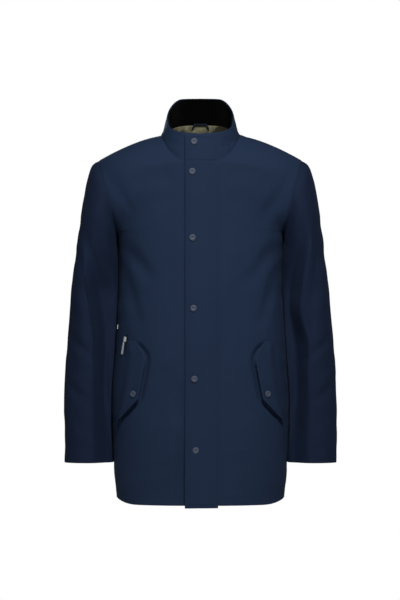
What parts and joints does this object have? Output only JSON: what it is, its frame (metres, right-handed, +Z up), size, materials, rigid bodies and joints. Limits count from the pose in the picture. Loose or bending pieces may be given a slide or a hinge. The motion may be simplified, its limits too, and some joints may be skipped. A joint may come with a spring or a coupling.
{
  "type": "foul weather jacket",
  "caption": "Hip-length waterproof jacket with a stand collar, zip under a snapped storm placket, set-in sleeves and flapped hand pockets, shown as worn.",
  "frame": {"origin": "the middle of the shoulder line at the neck, where the wearer's or the hanger's shoulders hold the jacket", "axes": "+Z up, the front faces -Y, +X is the wearer's left"},
  "size_m": [0.5974, 0.2827, 0.8958],
  "materials": {
    "shell_cloth": "matte, tightly woven and waterproofed",
    "collar_pile": "fine-ribbed pile",
    "lining": "soft, mottled",
    "pocket_cloth": "brushed",
    "zip_tape": "ribbed tape",
    "snap_enamel": "satin enamel",
    "snap_metal": "satin",
    "zip_metal": "satin nickel",
    "label": "woven tape, blank"
  },
  "bodies": {
    "jacket": {"back_panel": "shell_cloth", "front_left": "shell_cloth", "front_right": "shell_cloth", "collar_outer": "shell_cloth", "front_facing_left": "shell_cloth", "front_facing_right": "shell_cloth", "hem_facing_back": "shell_cloth", "hem_facing_left": "shell_cloth", "hem_facing_right": "shell_cloth", "zip_guard": "shell_cloth", "collar_facing": "collar_pile", "lining_back": "lining", "lining_front_left": "lining", "lining_front_right": "lining", "pocket_bag_left": "pocket_cloth", "pocket_bag_right": "pocket_cloth", "zip_tape_left": "zip_tape", "zip_tape_right": "zip_tape", "pocket_zip_tape_inner": "zip_tape", "pocket_zip_tape_outer": "zip_tape", "snap_stud_1": "snap_metal", "snap_stud_2": "snap_metal", "snap_stud_3": "snap_metal", "snap_stud_4": "snap_metal", "snap_stud_5": "snap_metal", "snap_stud_6": "snap_metal", "flap_snap_stud_left": "snap_metal", "flap_snap_stud_right": "snap_metal", "zip_stop_left": "zip_metal", "zip_stop_right": "zip_metal", "zip_box": "zip_metal", "side_tag": "label"},
    "placket": {"storm_placket": "shell_cloth", "snap_cap_1": "snap_enamel", "snap_cap_2": "snap_enamel", "snap_cap_3": "snap_enamel", "snap_cap_4": "snap_enamel", "snap_cap_5": "snap_enamel", "snap_cap_6": "snap_enamel"},
    "main_zip_slider": {"zip_slider": "zip_metal"},
    "main_zip_pull": {"zip_pull": "zip_metal"},
    "flap_left": {"pocket_flap_left": "shell_cloth", "flap_snap_cap_left": "snap_enamel"},
    "flap_right": {"pocket_flap_right": "shell_cloth", "flap_snap_cap_right": "snap_enamel"},
    "pocket_slider": {"pocket_zip_slider": "zip_metal"},
    "pocket_pull": {"pocket_zip_pull": "zip_metal"},
    "arm_left": {"sleeve_left": "shell_cloth", "sleeve_lining_left": "lining", "cuff_facing_left": "shell_cloth"},
    "arm_right": {"sleeve_right": "shell_cloth", "sleeve_lining_right": "lining", "cuff_facing_right": "shell_cloth"},
    "loop": {"hanger_loop": "zip_tape"}
  },
  "joints": [
    {"name": "placket_hinge", "type": "hinge", "parent": "jacket", "child": "placket", "pos_m": [0.0391, -0.0992, -0.0018], "axis": [0.001, 0.0512, 0.9987], "range_deg": [0, 95]},
    {"name": "main_zip_slide", "type": "slide", "parent": "jacket", "child": "main_zip_slider", "axis": [0, 0.0475, 0.9989], "range_m": [-0.7, 0]},
    {"name": "main_zip_pull_swing", "type": "hinge", "parent": "main_zip_slider", "child": "main_zip_pull", "pos_m": [0, -0.1038, -0.01784], "axis": [0, 0.9989, -0.0475], "range_deg": [-20, 20]},
    {"name": "flap_left_hinge", "type": "hinge", "parent": "jacket", "child": "flap_left", "pos_m": [0.1581, -0.0779, -0.4509], "axis": [-0.117, -0.063, 0.9911], "range_deg": [0, 105]},
    {"name": "flap_right_hinge", "type": "hinge", "parent": "jacket", "child": "flap_right", "pos_m": [-0.1581, -0.0779, -0.4509], "axis": [-0.117, 0.063, -0.9911], "range_deg": [0, 105]},
    {"name": "pocket_zip_slide", "type": "slide", "parent": "jacket", "child": "pocket_slider", "axis": [0.1469, -0.1394, 0.9793], "range_m": [-0.14, 0]},
    {"name": "pocket_zip_pull_swing", "type": "hinge", "parent": "pocket_slider", "child": "pocket_pull", "pos_m": [-0.16733, -0.06956, -0.4533], "axis": [-0.4866, 0.8518, 0.1943], "range_deg": [0, 130]},
    {"name": "arm_left_raise", "type": "hinge", "parent": "jacket", "child": "arm_left", "pos_m": [0.2226, 0, -0.055], "axis": [0, -1, 0], "range_deg": [0, 50]},
    {"name": "arm_right_raise", "type": "hinge", "parent": "jacket", "child": "arm_right", "pos_m": [-0.2226, 0, -0.055], "axis": [0, 1, 0], "range_deg": [0, 50]},
    {"name": "loop_hinge", "type": "hinge", "parent": "jacket", "child": "loop", "pos_m": [0, 0.057, 0.0175], "axis": [1, 0, 0], "range_deg": [0, 110]}
  ]
}
